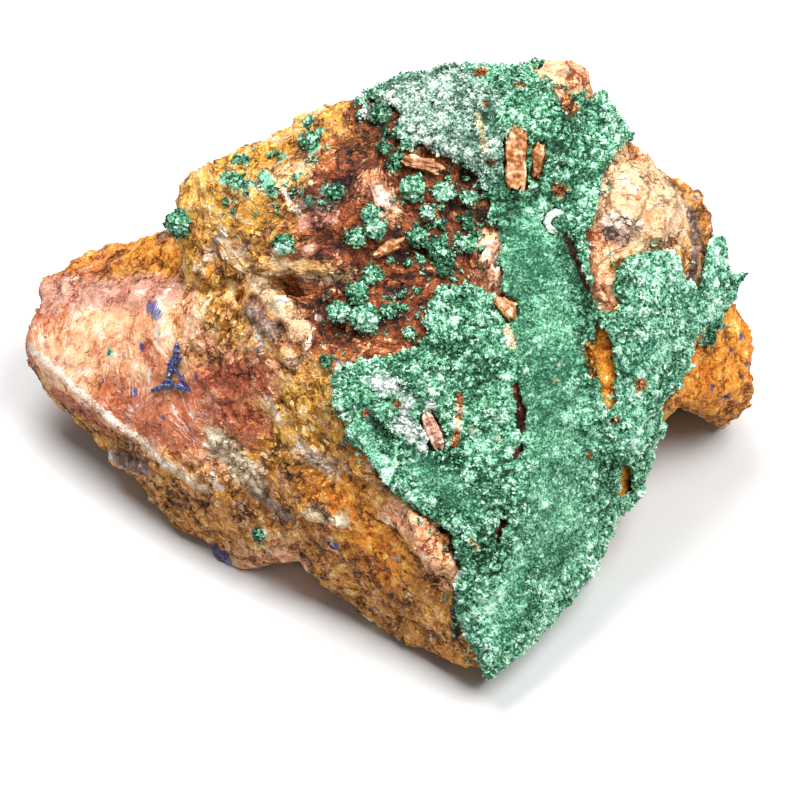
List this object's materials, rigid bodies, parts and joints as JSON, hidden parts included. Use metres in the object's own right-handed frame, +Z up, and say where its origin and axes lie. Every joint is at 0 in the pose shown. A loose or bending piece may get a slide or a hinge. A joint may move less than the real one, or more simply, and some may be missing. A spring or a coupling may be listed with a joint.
{
  "type": "mineral specimen",
  "caption": "Free-standing hand specimen of azurite and malachite on iron-stained barite rock, with a green crystal crust over one half and a flat patch to rest on.",
  "frame": {"origin": "on the ground, under the middle of the lump's outline", "axes": "+Z up, +X along the lump from the pale left wing to the right spur, +Y away from the malachite face towards the back"},
  "size_m": [0.0981, 0.0733, 0.0564],
  "materials": {
    "rock": "matt iron-stained rock, ochre to dark brown",
    "malachite": "sugary green crystal crust",
    "barite": "silky cream to salmon crystal",
    "azurite": "glassy dark blue crystal",
    "pale_mineral": "satin off-white crystal"
  },
  "bodies": {
    "root": {"matrix": "rock", "malachite_crust": "malachite", "barite_blade_01": "barite", "barite_blade_02": "barite", "barite_blade_03": "barite", "barite_blade_04": "barite", "barite_blade_05": "barite", "barite_blade_06": "barite", "barite_blade_07": "barite", "barite_blade_08": "barite", "barite_blade_09": "barite", "azurite_spray": "azurite", "pale_crystal": "pale_mineral"}
  },
  "joints": []
}
